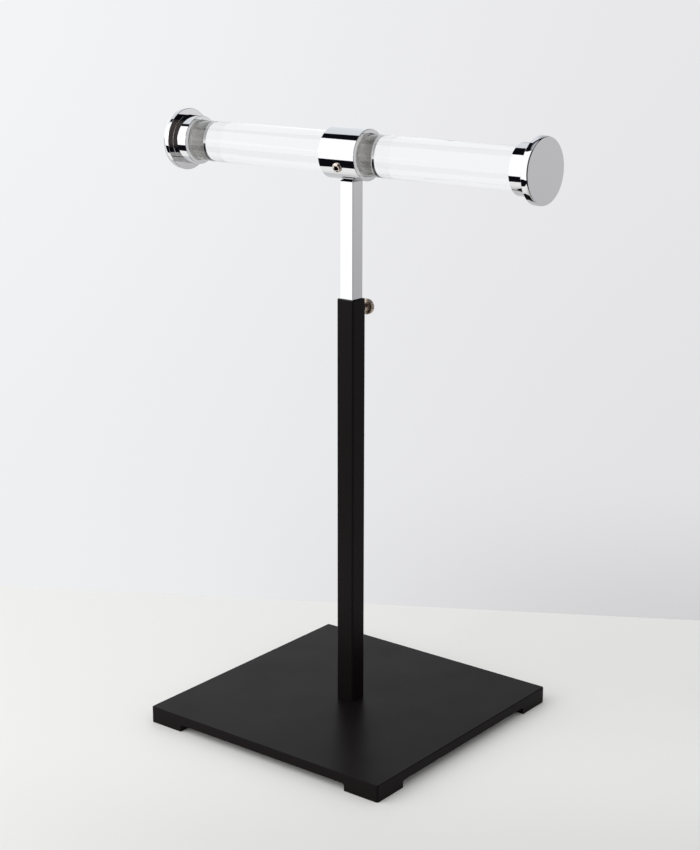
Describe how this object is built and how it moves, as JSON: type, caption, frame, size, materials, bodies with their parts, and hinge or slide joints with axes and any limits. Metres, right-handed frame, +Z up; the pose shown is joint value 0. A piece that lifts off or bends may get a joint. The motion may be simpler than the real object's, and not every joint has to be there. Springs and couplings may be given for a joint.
{
  "type": "adjustable t-bar display stand",
  "caption": "Tabletop T-bar jewelry stand: black square base and post, a chrome bar that slides to set the height, and a clear acrylic cross rod between chrome end caps.",
  "frame": {"origin": "Bottom centre of the square base, on the surface that it stands on, with the post's axis through it.", "axes": "+X along the cross rod, +Y away from the set screw's side towards the thumb screw, +Z up."},
  "size_m": [0.273, 0.182, 0.3817],
  "materials": {
    "black_paint": "satin black powder coat",
    "chrome_plate": "polished chrome plate on steel",
    "clear_acrylic": "clear polished acrylic",
    "nickel": "bright nickel plate",
    "steel": "plain screw steel"
  },
  "bodies": {
    "root": {"base_plate": "black_paint", "outer_post": "black_paint", "post_plug": "steel", "base_screw": "steel", "clamp_bush": "black_paint"},
    "head": {"inner_bar": "chrome_plate", "collar": "chrome_plate", "collar_mount_screw": "steel", "rod_set_screw": "steel", "acrylic_rod": "clear_acrylic", "end_cap_left": "chrome_plate", "end_cap_right": "chrome_plate"},
    "thumb": {"thumb_screw": "nickel"}
  },
  "joints": [
    {"name": "post_slide", "type": "slide", "parent": "root", "child": "head", "axis": [0, 0, 1], "range_m": [-0.072, 0.105]},
    {"name": "thumb_screw_turn", "type": "hinge", "parent": "root", "child": "thumb", "pos_m": [0, 0.0148, 0.2665], "axis": [0, 1, 0], "range_deg": [0, 360]}
  ]
}
